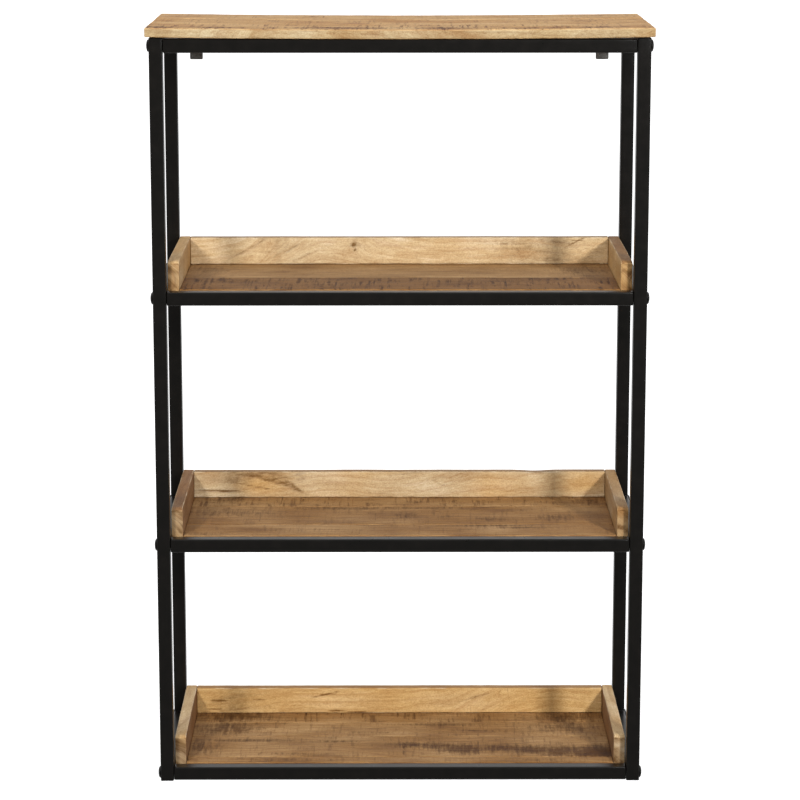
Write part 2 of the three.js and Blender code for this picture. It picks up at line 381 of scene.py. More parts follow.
def black_oxide_material(name):
    """Blackened bolt steel: mottled dark, with worn brighter streaks."""
    g = Graph(bpy.data.materials.new(name))
    wear = g.noise(g.place(), scale=700, detail=4, roughness=0.65)
    cloud = g.noise(g.place(), scale=160)
    body = g.ramp(wear, (0.35, srgb(24, 23, 22)), (0.6, srgb(42, 40, 38)), (0.78, srgb(84, 80, 76)))
    rough = g.between(cloud, 0.3, 0.7, 0.26, 0.46, smooth=False)
    return g.principled(Base_Color=body, Metallic=0.75, Roughness=rough, Normal=g.bump(wear, 0.08 * MM, 0.6))


def plastic_material(name):
    """Moulded black plastic with a fine matt spark texture."""
    g = Graph(bpy.data.materials.new(name))
    spark = g.noise(g.place(), scale=1500, roughness=0.6)
    scuff = g.noise(g.place(), scale=240, detail=4, roughness=0.7, distortion=0.6)
    body = g.ramp(scuff, (0.4, srgb(20, 20, 20)), (0.6, srgb(27, 27, 26)), (0.75, srgb(52, 51, 49)))
    rough = g.between(scuff, 0.3, 0.7, 0.52, 0.72, smooth=False)
    return g.principled(Base_Color=body, Roughness=rough, Normal=g.bump(spark, 0.1 * MM, 0.7))


def zinc_material(name):
    """Zinc-plated steel: a cloudy grey skin with fine spangle."""
    g = Graph(bpy.data.materials.new(name))
    spangle = g.noise(g.place(), scale=330, detail=3, roughness=0.6)
    cloud = g.noise(g.place(), scale=90)
    body = g.ramp(g.plus(g.times(spangle, 0.5), g.times(cloud, 0.5)),
                  (0.35, srgb(112, 111, 108)), (0.55, srgb(150, 149, 146)), (0.7, srgb(184, 182, 178)))
    rough = g.between(cloud, 0.3, 0.7, 0.34, 0.52, smooth=False)
    return g.principled(Base_Color=body, Metallic=0.85, Roughness=rough,
                        Normal=g.bump(spangle, 0.06 * MM, 0.6))


# ---- shapes as islands of points and faces

@dataclass
class Island:
    """One closed surface: points in millimetres, faces as point numbers, and values carried by its points."""
    points: np.ndarray
    faces: list
    grain: np.ndarray = None
    finish: np.ndarray = None
    ground: np.ndarray = None

    def __post_init__(self):
        self.points = np.asarray(self.points, float)

    def moved(self, x, y, z):
        return replace(self, points=self.points + np.array((x, y, z)))

    def turned(self, order, signs=(1, 1, 1)):
        """The same surface with its axes put in another order."""
        return replace(self, points=self.points[:, list(order)] * np.array(signs))


def add_piece(name, islands, material, replaced=(), sharp=38):
    """One object made of islands, riding on the frame and standing for CAD nodes.
    Edges over sharp degrees stay sharp."""
    faces, start = [], 0
    for island in islands:
        faces += [tuple(start + corner for corner in face) for face in island.faces]
        start += len(island.points)
    points = np.concatenate([island.points for island in islands])
    mesh = bpy.data.meshes.new(name)
    mesh.from_pydata((points * MM).tolist(), [], faces)
    for label in ("grain", "finish", "ground"):
        if all(getattr(island, label) is not None for island in islands):
            values = np.concatenate([getattr(island, label) for island in islands]).astype(np.float32)
            mesh.attributes.new(label, "FLOAT_VECTOR", "POINT").data.foreach_set("vector", values.ravel())
    form = bmesh.new()
    form.from_mesh(mesh)
    bmesh.ops.recalc_face_normals(form, faces=form.faces)
    form.to_mesh(mesh)
    form.free()
    mesh.shade_smooth()
    mesh.set_sharp_from_angle(angle=math.radians(sharp))
    mesh.materials.append(material)
    piece = put_in_scene(name, mesh)
    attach(piece, "root")
    if replaced:
        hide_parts(*replaced)


def wrapped_faces(rows, around, joined=False):
    """The faces between rows of points that each go once round. joined ties the last row to the first."""
    faces = []
    for row in range(rows if joined else rows - 1):
        here, after = row * around, (row + 1) % rows * around
        for k in range(around):
            n = (k + 1) % around
            faces.append((here + k, here + n, after + n, after + k))
    return faces


def capped_faces(rows, around):
    """The same, with a face that closes each end."""
    last = tuple((rows - 1) * around + k for k in reversed(range(around)))
    return wrapped_faces(rows, around) + [tuple(range(around)), last]


class Outline:
    """A rectangle with round corners: its points, outward normals, and how near each is to mid-corner."""

    def __init__(self, width, height, radius, wide, high, corner=4):
        """wide and high are the places of the grid lines on the two kinds of sides, from -1 to 1."""
        half_w, half_h = width / 2 - radius, height / 2 - radius
        runs = ((wide, lambda t: (t * half_w, -height / 2), (0, -1), (half_w, -half_h)),
                (high, lambda t: (width / 2, t * half_h), (1, 0), (half_w, half_h)),
                (wide, lambda t: (-t * half_w, height / 2), (0, 1), (-half_w, half_h)),
                (high, lambda t: (-width / 2, -t * half_h), (-1, 0), (-half_w, -half_h)))
        spots = []
        for number, (lines, spot, normal, centre) in enumerate(runs):
            if number == 2:
                self.opposite = len(spots)
            ordered = lines if number < 2 else -lines[::-1]
            spots += [(spot(t), normal, 0.0) for t in ordered]
            begin = math.radians(-90 + 90 * number)
            for step in range(1, corner):
                angle = begin + math.radians(90) * step / corner
                cos, sin = math.cos(angle), math.sin(angle)
                spots.append(((centre[0] + radius * cos, centre[1] + radius * sin), (cos, sin),
                              math.sin(math.pi * step / corner)))
        self.points, self.normals, self.cornering = (np.array(part) for part in zip(*spots))
        self.wide_count = len(wide)

    def caps(self):
        """The faces that close one end, as outline numbers."""
        count, top, total = self.wide_count, self.opposite, len(self.points)
        faces = [(i, i + 1, top + count - 2 - i, top + count - 1 - i) for i in range(count - 1)]
        faces.append(tuple(range(count - 1, top + 1)))
        faces.append(tuple(range(top + count - 1, total)) + (0,))
        return faces


def sweep(outline, stations):
    """Points (station, outline place, xyz) and faces of an outline carried along the third axis.
    stations are (place, inset) pairs."""
    around = len(outline.points)
    rows = []
    for place, inset in stations:
        flat = outline.points - outline.normals * inset
        rows.append(np.column_stack((flat, np.full(around, place))))
    faces = wrapped_faces(len(rows), around)
    last = (len(rows) - 1) * around
    for cap in outline.caps():
        faces += [tuple(reversed(cap)), tuple(last + corner for corner in cap)]
    return np.array(rows), faces


def eased_stations(length, radius, inner=(), steps=4):
    """Stations with rounded ends, and any inner places in between."""
    ease = []
    for step in range(steps + 1):
        angle = math.pi / 2 * step / steps
        ease.append((-length / 2 + radius * (1 - math.sin(angle)), radius * (1 - math.cos(angle))))
    ease = sorted(ease)
    middle = [(place, 0.0) for place in inner if abs(place) < length / 2 - radius - 0.2]
    return ease + middle + [(-place, inset) for place, inset in reversed(ease)]


def steel_bar(width, height, length, radius, end_radius, inner=()):
    """A bar along Z with round corners and softened ends, as tube with its ends dressed looks."""
    grid = np.linspace(-1, 1, 5)
    points, faces = sweep(Outline(width, height, radius, grid, grid, corner=6),
                          eased_stations(length, end_radius, inner))
    return Island(points.reshape(-1, 3), faces)


# ---- wood

NOISE_CELLS = 64
CURVE_REACH = 420
CURVE_WINDOW = 31
EDGE_WEAR = 0.5
END_LEAN = 0.012
CUT_HALF_WIDTHS, CUT_DEPTHS = (1.1, 2.9), (0.05, 0.24)
SMALLEST_STEP = 0.25


def smooth_noise(x, y, seed):
    """Smooth noise from -1 to 1, the same on every run."""
    table = np.random.default_rng(seed).uniform(-1, 1, (NOISE_CELLS, NOISE_CELLS))
    left, low = np.floor(x).astype(int), np.floor(y).astype(int)
    fx, fy = x - left, y - low
    fx, fy = fx * fx * (3 - 2 * fx), fy * fy * (3 - 2 * fy)

    def at(i, j):
        return table[(left + i) % NOISE_CELLS, (low + j) % NOISE_CELLS]

    return ((at(0, 0) * (1 - fx) + at(1, 0) * fx) * (1 - fy)
            + (at(0, 1) * (1 - fx) + at(1, 1) * fx) * fy)


def smooth_curve(controls, x):
    """A soft curve through (place, value) controls, read at x. It is drawn every 2 mm and then softened."""
    places, values = zip(*controls)
    fine = np.linspace(-CURVE_REACH, CURVE_REACH, CURVE_REACH + 1)
    window = np.hanning(CURVE_WINDOW)
    rough = np.pad(np.interp(fine, places, values), CURVE_WINDOW // 2, "edge")
    return np.interp(x, fine, np.convolve(rough, window / window.sum(), "valid"))


@dataclass
class Figure:
    """How a board's grain runs and where it is marked, in millimetres from the board's middle.

    path and depth are the pith's place across and below the face, as (along, value) controls.
    knots are (along, across, radius); stains are (along, across, half length, half width, strength, slant);
    cracks are (along, across, length, width, depth). shade, end_shade and edge_shade deepen the colour of
    the face, the end grain and the long edges. end_shade is the end grain's own darker colour. shade on the
    side boards' inner faces and edge_shade on the plank and on the floors' front staves are painted shade;
    elsewhere they only deepen the colour."""
    seed: int
    path: tuple
    depth: tuple
    knots: tuple = ()
    stains: tuple = ()
    cracks: tuple = ()
    tone: float = 0.3
    tone_swing: float = 0.35
    saw: float = 0.0
    wander: float = 5.0
    saw_cuts: int = 0
    shade: float = 0.0
    end_shade: float = 0.45
    edge_shade: float = 0.0

    def ring(self, u, v, w):
        """The distance from the pith, which bends round each knot."""
        drift = self.wander * smooth_noise(u / 85 + 7, v / 45 + 3, self.seed)
        drift = drift + 0.3 * self.wander * smooth_noise(u / 28, v / 16, self.seed + 1)
        ring = np.hypot(v - smooth_curve(self.path, u) + drift, smooth_curve(self.depth, u) + w)
        for at_u, at_v, radius in self.knots:
            away = np.hypot((u - at_u) / 2.0, v - at_v)
            ring = ring + 2.4 * radius * np.exp(-(away / (2.6 * radius)) ** 2)
            away = np.hypot(u - at_u, v - at_v)
            near = np.exp(-(away / (1.3 * radius)) ** 4)
            ring = ring * (1 - near) + near * (ring.mean() + 2.0 * away)
        return ring

    def stain(self, u, v):
        """How stained a spot is: the strongest of its stains and knots."""
        total = np.zeros_like(u)
        for at_u, at_v, half_u, half_v, strength, *slant in self.stains:
            off = v - at_v - sum(slant) * (u - at_u)
            total = np.maximum(total, strength * np.exp(-((u - at_u) / half_u) ** 2 - (off / half_v) ** 2))
        for at_u, at_v, radius in self.knots:
            away = np.hypot((u - at_u) / 1.15, v - at_v)
            for strength, reach in ((1.9, 0.8), (0.62, 2.4)):
                total = np.maximum(total, strength * np.exp(-(away / (reach * radius)) ** 2))
        return total

    def tones(self, u, v):
        swing = self.tone_swing * smooth_noise(u / 70 + 1, v / 38 + 5, self.seed + 2)
        return np.clip(self.tone + swing, 0, 1)

    def cuts(self, length, width):
        """Saw cuts across the board, in groups of three, from a seeded draw.
        They are (along, across, half across, half width, depth)."""
        draw = np.random.default_rng(self.seed + 50)
        made, at = [], 0.0
        for number in range(self.saw_cuts):
            if number % 3 == 0:
                at = draw.uniform(-0.5, 0.5) * (length - 40)
            else:
                at = np.clip(at + draw.uniform(-12, 12), -length / 2 + 6, length / 2 - 6)
            reach = draw.uniform(0.25, 1.0) * width / 2
            middle = draw.uniform(-1, 1) * (width / 2 - reach)
            made.append((at, middle, reach, draw.uniform(*CUT_HALF_WIDTHS), draw.uniform(*CUT_DEPTHS)))
        return made


def board_places(length, step, cuts, cracks):
    """Where a board's grid has points along it: at even steps, and at the edges of its cuts and cracks."""
    places = list(np.arange(-length / 2 + step, length / 2, step))
    for at, _, _, mark, _ in cuts:
        places = [p for p in places if abs(p - at) > mark * 1.15]
        places += [at - mark, at, at + mark]
    for at, _, reach, _, _ in cracks:
        places += [at - reach / 2 - 1, at + reach / 2 + 1]
    places = sorted(places)
    return [p for i, p in enumerate(places) if i == 0 or p - places[i - 1] > SMALLEST_STEP]


def board_lines(half, count, cracks):
    """Where a board's grid has lines across it, from -1 to 1: evenly, and at the edges of its cracks."""
    lines = list(np.linspace(-half, half, count))
    for _, at, _, mark, _ in cracks:
        lines = [p for p in lines if abs(p - at) > mark * 1.3 or abs(p) == half]
        lines += [at - mark, at, at + mark]
    return np.array(sorted(p for p in lines if abs(p) <= half + 1e-9)) / half


def board(low, high, along, across, figure, step, face, edge=1.5, end=1.0, shape=None, warp=0.22):
    """A rough-sawn board between two corners: eased uneven edges, a slightly wavy skin, cracks and saw cuts.

    along and across are the axes of its length and width; face is the side, +1 or -1, of its thickness axis
    that carries the cracks and cuts. shape(u, v) says how far a point moves across and in thickness."""
    thick = 3 - along - across
    length, width, depth = (high - low)[[along, across, thick]]
    cuts = figure.cuts(length, width)
    lines = board_lines(width / 2 - edge, max(4, int(width / step)), figure.cracks)
    outline = Outline(width, depth, edge, lines, np.linspace(-1, 1, max(4, int(depth / 3))))
    places = board_places(length, step, cuts, figure.cracks)
    points, faces = sweep(outline, eased_stations(length, end, places, steps=3))
    normal_v, normal_w = outline.normals.T
    facing = normal_w * face > 0.9
    siding = np.abs(normal_v) ** 2

    def noise(x, y, number):
        return smooth_noise(x, y, figure.seed + number)

    def per_point(*values):
        return np.stack(np.broadcast_arrays(*values), axis=-1).reshape(-1, 3)

    flat_v, flat_w, flat_u = points[..., 0], points[..., 1], points[..., 2]
    side_v, side_w = np.sign(flat_v), np.sign(flat_w)
    bulge = warp * noise(flat_u / 60, (flat_v + 0.7 * flat_w) / 40, 3)
    bulge += 0.35 * warp * noise(flat_u / 9, (flat_v - 0.6 * flat_w) / 7, 4)
    wear = EDGE_WEAR * (0.45 + 0.55 * noise(flat_u / 17, side_v * 3 + side_w * 7, 5))
    wear += 0.35 * np.maximum(0, noise(flat_u / 5, side_v * 5 + side_w * 9, 6) - 0.2)
    bulge = np.minimum(bulge, 0.12) - wear * outline.cornering

    groove = np.zeros_like(flat_u)
    for at, centre, reach, mark, deep in cuts:
        inside = np.clip((reach - np.abs(flat_v - centre)) / 7, 0, 1)
        profile = np.clip(1 - np.abs(flat_u - at) / mark, 0, 1) * inside
        profile = profile * (0.6 + 0.5 * noise(flat_v / 8, at, 9))
        groove = np.maximum(groove, deep * profile * facing)
    for at, centre, reach, mark, deep in figure.cracks:
        taper = np.clip(1 - (np.abs(flat_u - at) / (reach / 2)) ** 2, 0, 1)
        profile = np.clip(1 - np.abs(flat_v - centre) / mark, 0, 1) * np.sqrt(taper)
        groove = np.maximum(groove, deep * profile * facing)

    v = flat_v + normal_v * bulge
    w = flat_w + normal_w * (bulge - groove)
    lean = END_LEAN * v + 0.5 * noise(v / 21, 0.0, 10)
    u = flat_u + lean * (1 - np.abs(2 * flat_u / length) ** 12)
    if shape is not None:
        rise, lift = shape(flat_u, flat_v)
        v, w = v + rise, w + lift

    grain = per_point(flat_u + 97.0 * (figure.seed % 13), figure.ring(flat_u, flat_v, flat_w * face),
                      flat_v + flat_w + 61.0 * (figure.seed % 11))
    stain = np.maximum(figure.stain(flat_u, flat_v) * (1 - 0.8 * siding), np.clip(groove / 0.17, 0, 1.1))
    ending = np.clip((np.abs(flat_u) - length / 2 + end) / end, 0, 1)
    stain = np.maximum(stain, (0.55 + 0.85 * noise(flat_v / 7, flat_w / 5, 12)) * ending)
    finish = per_point(stain, figure.tones(flat_u, flat_v), figure.saw * (1 - siding))
    # The face and the long edges are deepened as the figure says, which on some boards is painted shade; the
    # end grain takes its own darker colour.
    deepness_and_painted_shade = figure.shade * facing + figure.edge_shade * siding
    deepness_and_painted_shade = deepness_and_painted_shade * (1 - ending) + figure.end_shade * ending
    worn = np.clip(outline.cornering * (0.35 + noise(u / 13, np.sign(v) * 5, 11)), 0, 1)
    ground = per_point(deepness_and_painted_shade, worn * (1 - ending), 0.0)

    placed = np.empty(points.shape)
    placed[..., along], placed[..., across], placed[..., thick] = u, v, w
    return Island(placed.reshape(-1, 3) + (low + high) / 2, faces, grain, finish, ground)


def run(half, first, *rest):
    """Controls along a board: a value at each end, -half and half, and any (along, value) pairs between."""
    return (-half, first), *rest[:-1], (half, rest[-1])


TRAY_HALF, PLANK_HALF = 309, 350
tray_run = partial(run, TRAY_HALF)
plank_run = partial(run, PLANK_HALF)

BACK_FIGURES = {
    3: Figure(
        31, tray_run(-34, (-230, -20), (-190, 12), (-120, 60), (-40, 44), (60, 34), 40),
        tray_run(18, (-100, 30), 10), knots=((-68, 9, 3.6), (-66, 2, 1.8)),
        stains=((-270, -24, 30, 5, 0.5), (262, 14, 20, 1.8, 1.1, 0.5), (205, 0, 110, 60, 0.50),
                (-185, 10, 44, 40, 0.42), (-222, 4, 46, 3, 0.7, 0.55), (-172, -2, 52, 2.6, 0.7, 0.5),
                (-136, -6, 46, 2.4, 0.55, 0.5), (150, 12, 80, 3, 0.5, -0.05)),
        cracks=((262, 15, 16, 0.7, 0.6),), tone=0.22, tone_swing=0.3, shade=0.08, edge_shade=0.5),
    2: Figure(
        22, tray_run(4, (-250, 6), (-190, 22), (-120, 34), (-40, 30), (20, 32), (120, 36), 30),
        tray_run(6, (-120, 4), (-30, 3), (30, 8), (120, 30), 44),
        stains=((-212, 13, 56, 5, 0.85, -0.14), (-196, 7, 44, 4.5, 0.9, -0.30), (-176, 3, 32, 5, 0.9, -0.50),
                (-158, -3, 22, 4.5, 0.95, -0.70), (-200, 19, 44, 5, 0.75, -0.05),
                (-225, -1, 50, 2.2, 0.9, -0.2), (-186, 16, 26, 8, 0.8, -0.30), (-262, -10, 44, 2, 1.0, -0.04),
                (-250, 8, 50, 8, 0.6), (204, 22, 12, 1.8, 1.1), (-148, 14, 12, 12, 0.5), (-60, 12, 4, 4, 0.5),
                (20, 18, 60, 2.4, 0.5, 0.12), (60, 2, 34, 2.2, 0.6, -0.5), (-10, -16, 60, 2.4, 0.5, -0.1)),
        cracks=((-262, -9, 44, 0.6, 0.5), (205, 20.5, 18, 0.6, 0.8)), tone=0.35, tone_swing=0.5,
        shade=0.15, edge_shade=0.6),
    1: Figure(
        13, tray_run(-60, (-160, -46), (0, -40), (80, -30), (160, 14), (230, 34), 30),
        tray_run(12, (0, 16), 9),
        stains=((-274, 0, 16, 1.8, 1.2), (-214, 2, 11, 1.6, 1.2), (-284, -13, 14, 1.9, 1.1),
                (-112, 10, 30, 1.8, 1.1, 0.22), (-96, -16, 14, 2.2, 1.1), (-60, -18, 16, 1.8, 1.0),
                (-250, -6, 70, 34, 0.48), (-60, -2, 90, 2.4, 0.5, 0.04), (110, 4, 60, 2.6, 0.6, 0.3)),
        cracks=((-272, 0, 22, 0.6, 0.6), (-110, 10, 26, 0.7, 0.8), (-96, -16, 10, 0.6, 0.6),
                (-76, -17.5, 9, 0.6, 0.6), (-57, -19, 7, 0.5, 0.5)), tone=0.95, tone_swing=0.3,
        edge_shade=0.55),
}


def dipped_edge(u, v):
    """A worn dip in the upper edge of a tray's back, right of its middle."""
    return -1.5 * np.exp(-((u - 203) / 22) ** 2) * np.clip(v / 20, 0, 1), 0.0


def tray_backs(material):
    for level in TRAYS:
        node = f"tray_{level}_back"
        low, high = span(node)
        back = board(low, high, X, Z, BACK_FIGURES[level], 2.4, -1, shape=dipped_edge if level == 2 else None)
        add_piece(f"tray_{level}_back_board", [back], material, [node])


def worn_corner(u, v):
    """Rounds the upper front corner of a tray's side board."""
    near = np.clip(1 - (u + 125) / 7, 0, 1) ** 2
    return -3.2 * near * np.clip((v - 8) / 20, 0, 1), 0.0


# How much deeper the inner face and the upper edge of a tray's side boards are coloured, left and right.
# On the inner faces this is painted shade, deepest on the lower trays; the upper edges are deepened board by
# board.
SIDE_SHADES = {3: ((0.30, 0.1), (0.12, 0.7)), 2: ((0.82, 0.8), (0.46, 0.45)), 1: ((0.84, 0.15), (0.84, 0.15))}


def tray_sides(material):
    for level in TRAYS:
        for number, (side, outward) in enumerate(SIDES):
            node = f"tray_{level}_side_{side}"
            low, high = span(node)
            # The inner face's deeper colour is painted shade.
            inner_painted_shade, edge_shade = SIDE_SHADES[level][number]
            figure = Figure(
                200 + 20 * level + 7 * number, ((-125, -30 + 9 * level), (125, 12 - 8 * number)),
                ((-125, 10 + 4 * level), (125, 26)), tone=0.35 + 0.12 * level, saw=0.3,
                stains=((30 - 22 * level, 8 * outward, 30, 5, 0.45), (-108, 14, 22, 7, 0.4)),
                shade=inner_painted_shade, end_shade=0.36, edge_shade=edge_shade)
            wall = board(low, high, Y, Z, figure, 3.0, -outward, shape=worn_corner)
            add_piece(f"tray_{level}_side_board_{side}", [wall], material, [node])


# Where one stave of a tray's floor ends and the next begins, as a share of the floor's depth from its front.
STAVE_JOINTS = {3: (0.432,), 2: (0.267, 0.714), 1: (0.096, 0.485, 0.760)}
STAVE_GAP = 0.25
STAVE_STEP = 4.2

# edge_shade on the front staves of trays 2 and 1 is painted shade along their front arris, beside the rail.
FLOOR_FIGURES = {
    3: (Figure(301, tray_run(60, 80), tray_run(20, 12), tone=0.9, tone_swing=0.3, saw=1.0, saw_cuts=60,
               stains=((-250, 20, 80, 30, 0.50), (-90, -10, 100, 40, 0.44), (150, 10, 90, 36, 0.46)),
               shade=0.20),
        Figure(302, tray_run(-90, (0, -60), -80), tray_run(30, 18), tone=0.0, tone_swing=0.2, saw=0.12,
               stains=((-285, 0, 46, 70, 0.55), (265, 0, 60, 70, 0.62)))),
    2: (Figure(311, tray_run(70, 50), tray_run(26, 18), tone=0.45, saw=0.3, saw_cuts=5, edge_shade=0.4,
               stains=((130, 25, 70, 5, 1.1), (-280, -20, 40, 14, 0.5), (165, 12, 65, 5, 0.9),
                       (-120, 0, 90, 14, 0.42))),
        Figure(312, tray_run(30, (-100, 8), 46), tray_run(12, 20), tone=0.7, saw=0.3, saw_cuts=7,
               stains=((-250, 20, 80, 34, 0.62), (10, -4, 20, 28, 0.72), (66, -8, 16, 22, 0.62),
                       (130, -24, 34, 14, 0.70), (225, -14, 34, 26, 0.78), (-40, 44, 190, 9, 0.7))),
        Figure(313, tray_run(-70, -60), tray_run(14, 22), saw=0.7, saw_cuts=34,
               stains=((-270, 0, 50, 40, 0.66), (275, 0, 44, 40, 0.66)))),
    1: (Figure(321, tray_run(30, 40), tray_run(22, 12), tone=0.5, saw=0.3, saw_cuts=5, edge_shade=0.5,
               stains=((-150, 0, 90, 9, 0.5), (200, 0, 60, 9, 0.5))),
        Figure(322, tray_run(-60, (-100, -30), (60, -62), -30), tray_run(9, 16), tone=0.45, saw=0.45,
               saw_cuts=12, wander=9,
               stains=((20, 8, 50, 14, 0.95), (60, 2, 40, 18, 1.05), (92, -12, 44, 28, 1.15),
                       (150, -8, 50, 20, 1.0), (196, -16, 44, 24, 1.15), (240, -22, 44, 30, 1.2),
                       (290, -26, 50, 34, 1.3), (-90, 24, 50, 5, 0.9), (-230, 30, 90, 8, 0.85),
                       (-150, -34, 70, 7, 0.6), (-290, -6, 36, 44, 0.7))),
        Figure(323, tray_run(10, -20), tray_run(24, 10), tone=0.5, saw=0.45, saw_cuts=10, wander=8,
               stains=((-255, 4, 60, 36, 0.95), (250, 6, 66, 34, 0.80), (60, 22, 90, 7, 0.8, -0.03),
                       (-30, -16, 70, 6, 0.6), (120, -8, 60, 4, 0.8, -0.06))),
        Figure(324, tray_run(60, 30), tray_run(16, 22), tone=0.4, saw=0.7, saw_cuts=18,
               stains=((-250, 0, 70, 36, 0.95), (255, -6, 60, 34, 0.85), (40, 10, 120, 12, 0.5)))),
}


def staves(low, high, joints, drops):
    """The corners of staves laid side by side between two corners. drops are how far their tops lie low."""
    depth = high[Y] - low[Y]
    for begin, finish, drop in zip((0.0, *joints), (*joints, 1.0), drops):
        stave_low, stave_high = low.copy(), high.copy()
        stave_low[Y] = low[Y] + depth * begin + (STAVE_GAP / 2 if begin > 0 else 0)
        stave_high[Y] = low[Y] + depth * finish - (STAVE_GAP / 2 if finish < 1 else 0)
        stave_high[Z] -= drop
        yield stave_low, stave_high


def tray_floors(material):
    for level in TRAYS:
        node = f"tray_{level}_floor"
        figures = FLOOR_FIGURES[level]
        drops = [0.12 * ((number * 2 + level) % 3) for number in range(len(figures))]
        islands = [board(*corners, X, Y, figure, STAVE_STEP, 1, edge=0.9, end=0.8, warp=0.16)
                   for corners, figure in zip(staves(*span(node), STAVE_JOINTS[level], drops), figures)]
        add_piece(f"tray_{level}_floor_board", islands, material, [node])


PLANK_JOINTS = (0.34, 0.68)
PLANK_DROPS = (0.15, 0.30, 0.0)
PLANK_THICKNESS = 13.0
PLANK_SAG = 2.6
# edge_shade here is painted shade: it greys and darkens the staves' long edges, the front edge most of all,
# with the plank wood's pale bluish deep colour.
PLANK_FIGURES = (
    Figure(401, plank_run(70, (-100, 40), (120, 66), 40), plank_run(14, 24), tone=0.35, saw=0.9, saw_cuts=34,
           stains=((-330, -30, 26, 18, 1.0), (-250, -28, 60, 20, 0.75), (-80, -16, 100, 26, 0.95),
                   (60, -20, 60, 22, 0.9), (170, -24, 60, 20, 0.7), (275, -24, 60, 20, 0.8)),
           knots=((188, -22, 4.0),), edge_shade=1.0),
    Figure(402, plank_run(-60, (0, -20), -50), plank_run(10, 30), tone=0.55, saw=0.45, saw_cuts=12,
           stains=((-180, 10, 90, 5, 0.4), (220, -8, 70, 10, 0.35)), cracks=((-120, 22, 60, 0.7, 0.9),)),
    Figure(403, plank_run(20, (-60, 60), 10), plank_run(30, 12), tone=0.25, saw=0.3, saw_cuts=6,
           stains=((270, 12, 50, 12, 0.45),), knots=((-126, 12, 5.0),), edge_shade=0.9),
)


def bowed(seed):
    """A stave's shape in the plank: its sides waver, and the plank's middle lies lower than its ends."""
    def shape(u, v):
        return 0.35 * smooth_noise(u / 55, np.sign(v), seed + 8), PLANK_SAG * ((u / PLANK_HALF) ** 2 - 1)
    return shape


def top_plank(material):
    low, high = span("top_plank")
    low[Z] = high[Z] - PLANK_THICKNESS
    islands = [board(*corners, X, Y, figure, STAVE_STEP, 1, edge=1.8, end=1.4, warp=0.3,
                     shape=bowed(figure.seed))
               for corners, figure in zip(staves(low, high, PLANK_JOINTS, PLANK_DROPS), PLANK_FIGURES)]
    add_piece("top_plank_board", islands, material, ["top_plank"])


# ---- steel

# The radius of the square tubes' corners, and the measures of the tabs that hold the trays and the plank.
CORNER = 2.0
TAB_WIDTH, TAB_REACH, TAB_THICK, TAB_FROM_MIDDLE, TAB_HOLE, TAB_CORNER = 25.0, 22.0, 2.2, 200.0, 2.5, 1.6
TAB_RAISED = 1.5
TUBE_WELD, TAB_WELD = 1.1, 0.9
BEAD_AROUND = 8
# The place on a tube's outline, counted from its lower left, where its weld begins.
BEAD_START = 30
HOLE_AROUND = 28
SCREW_AROUND = 48


def size_and_middle(low, high):
    return high - low, (low + high) / 2


def legs(material):
    for end, _ in ENDS:
        for side, _ in SIDES:
            node = f"leg_{end}_{side}"
            size, middle = size_and_middle(*span(node))
            bar = steel_bar(size[X], size[Y], size[Z], CORNER, 1.2, inner=np.linspace(-500, 500, 21))
            add_piece(f"leg_tube_{end}_{side}", [bar.moved(*middle)], material, [node])


def bead(path, normals, radius, seed):
    """A weld bead: a round tube along a closed path, rippled as a weld is."""
    count = len(path)
    ahead = np.roll(path, -1, axis=0) - np.roll(path, 1, axis=0)
    ahead /= np.linalg.norm(ahead, axis=1)[:, None]
    sideways = np.cross(ahead, normals)
    steps = np.arange(count)
    ripple = 1 + 0.13 * np.sin(steps * 2.1) + 0.10 * smooth_noise(steps * 0.6, 0.0, seed)
    reach = (radius * ripple)[:, None]
    points = [path + reach * (cos * normals + sin * sideways) for cos, sin in circle(BEAD_AROUND)]
    return Island(np.stack(points, axis=1).reshape(-1, 3), wrapped_faces(count, BEAD_AROUND, joined=True))


def bead_round_tube(half, corner, place, seed):
    """A bead that runs round a square tube standing along Y, at y = place."""
    grid = np.linspace(-1, 1, 13)
    ring = Outline(2 * half, 2 * half, corner, grid, grid, corner=6)
    path, normals = (np.roll(part, -BEAD_START, axis=0) for part in (ring.points, ring.normals))
    return bead(np.insert(path, 1, place, axis=1), np.insert(normals, 1, 0, axis=1), TUBE_WELD, seed)


def side_rails(material):
    for level in LEVELS:
        for number, (side, _) in enumerate(SIDES):
            node = f"side_rail_{side}_{level}"
            size, middle = size_and_middle(*span(node))
            bar = steel_bar(size[X], size[Z], size[Y], CORNER, 0.4, inner=np.linspace(-110, 110, 9))
            islands = [bar.turned((X, Z, Y)).moved(*middle)]
            seed = 500 + 10 * level + number
            for _, outward in ENDS:
                ring = bead_round_tube(size[X] / 2 - 0.6, CORNER, outward * size[Y] / 2, seed)
                islands.append(ring.moved(*middle))
            add_piece(f"side_tube_{side}_{level}", islands, material, [node])


